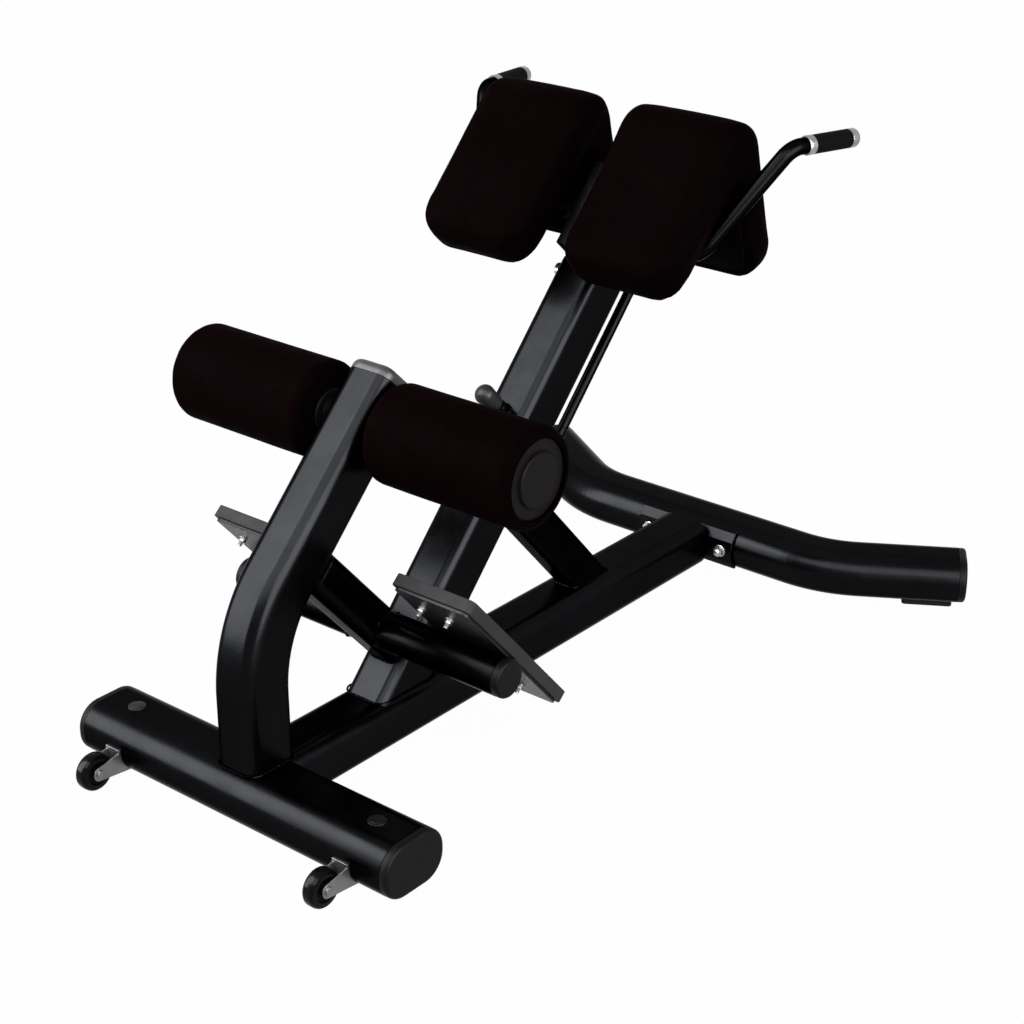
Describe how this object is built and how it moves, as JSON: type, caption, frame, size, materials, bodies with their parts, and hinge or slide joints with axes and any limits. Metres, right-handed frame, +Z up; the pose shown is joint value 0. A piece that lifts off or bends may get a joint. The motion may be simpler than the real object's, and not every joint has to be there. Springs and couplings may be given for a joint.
{
  "type": "hyperextension bench",
  "caption": "Slanting back-extension bench with sliding hip pads and handles, foam ankle rollers, foot plates and transport wheels on a floor frame.",
  "frame": {"origin": "on the floor, under the middle of the bench", "axes": "+X to the bench's right, +Y from the front foot to the rear foot, +Z up"},
  "size_m": [0.9506, 1.404, 0.8818],
  "materials": {
    "powder_coated_steel": "black powder coat, semi-gloss",
    "dark_plastic": "moulded, matt",
    "black_rubber": "matt",
    "foam_skin": "black skin over foam, matt",
    "black_vinyl": "black coated cloth over foam, semi-matt",
    "bright_steel": "bright",
    "zinc_plated_steel": "zinc plated",
    "wheel_rubber": "smooth"
  },
  "bodies": {
    "frame": {"brace_arm": "powder_coated_steel", "foot_bar_cap_left": "dark_plastic", "foot_bar_cap_right": "dark_plastic", "foot_bar_left": "powder_coated_steel", "foot_bar_right": "powder_coated_steel", "foot_plate_left": "powder_coated_steel", "foot_plate_right": "powder_coated_steel", "foot_tread_left": "black_rubber", "foot_tread_right": "black_rubber", "front_foot_cap_left": "dark_plastic", "front_foot_cap_right": "dark_plastic", "front_foot_tube": "powder_coated_steel", "front_plug_left": "dark_plastic", "front_plug_right": "dark_plastic", "front_rubber_left": "black_rubber", "front_rubber_right": "black_rubber", "gas_spring_rod": "bright_steel", "guide_bolt": "bright_steel", "lock_barrel": "powder_coated_steel", "post_tube": "powder_coated_steel", "rear_foot_cap_left": "dark_plastic", "rear_foot_cap_right": "dark_plastic", "rear_foot_tube": "powder_coated_steel", "rear_rubber_left": "black_rubber", "rear_rubber_right": "black_rubber", "roller_axle": "bright_steel", "saddle_bolt_left": "zinc_plated_steel", "saddle_bolt_right": "zinc_plated_steel", "saddle_plate": "powder_coated_steel", "slide_guide": "dark_plastic", "spine_tube": "powder_coated_steel", "strut_tube": "powder_coated_steel", "tread_bolt_inner_left": "zinc_plated_steel", "tread_bolt_inner_right": "zinc_plated_steel", "tread_bolt_outer_left": "zinc_plated_steel", "tread_bolt_outer_right": "zinc_plated_steel", "upright_cap": "dark_plastic", "upright_tube": "powder_coated_steel", "wheel_bracket_left": "zinc_plated_steel", "wheel_bracket_right": "zinc_plated_steel"},
    "carriage": {"slide_tube": "powder_coated_steel", "pad_bracket": "powder_coated_steel", "handle_bar": "powder_coated_steel", "gas_spring_cylinder": "powder_coated_steel", "hip_pad_left": "black_vinyl", "hip_pad_right": "black_vinyl", "grip_left": "black_rubber", "grip_right": "black_rubber", "grip_ring_left": "bright_steel", "grip_ring_right": "bright_steel", "grip_plug_left": "bright_steel", "grip_plug_right": "bright_steel"},
    "roller_left": {"roller_left": "foam_skin", "roller_disc_left": "dark_plastic"},
    "roller_right": {"roller_right": "foam_skin", "roller_disc_right": "dark_plastic"},
    "wheel_left": {"transport_wheel_left": "wheel_rubber"},
    "wheel_right": {"transport_wheel_right": "wheel_rubber"},
    "lock": {"lock_pin": "bright_steel", "lock_knob": "black_rubber"}
  },
  "joints": [
    {"name": "carriage_slide", "type": "slide", "parent": "frame", "child": "carriage", "axis": [0, 0.6825, 0.7309], "range_m": [-0.07, 0.08]},
    {"name": "roller_left_spin", "type": "hinge", "parent": "frame", "child": "roller_left", "pos_m": [0, -0.33072, 0.53017], "axis": [1, 0, 0], "continuous": true},
    {"name": "roller_right_spin", "type": "hinge", "parent": "frame", "child": "roller_right", "pos_m": [0, -0.33072, 0.53017], "axis": [1, 0, 0], "continuous": true},
    {"name": "wheel_left_spin", "type": "hinge", "parent": "frame", "child": "wheel_left", "pos_m": [-0.2279, -0.67391, 0.0337], "axis": [1, 0, 0], "continuous": true},
    {"name": "wheel_right_spin", "type": "hinge", "parent": "frame", "child": "wheel_right", "pos_m": [0.2279, -0.67391, 0.0337], "axis": [1, 0, 0], "continuous": true},
    {"name": "lock_pull", "type": "slide", "parent": "frame", "child": "lock", "axis": [0, -0.7309, 0.6825], "range_m": [0, 0.01], "stiffness_N_per_m": 400, "springref_m": -0.004}
  ]
}
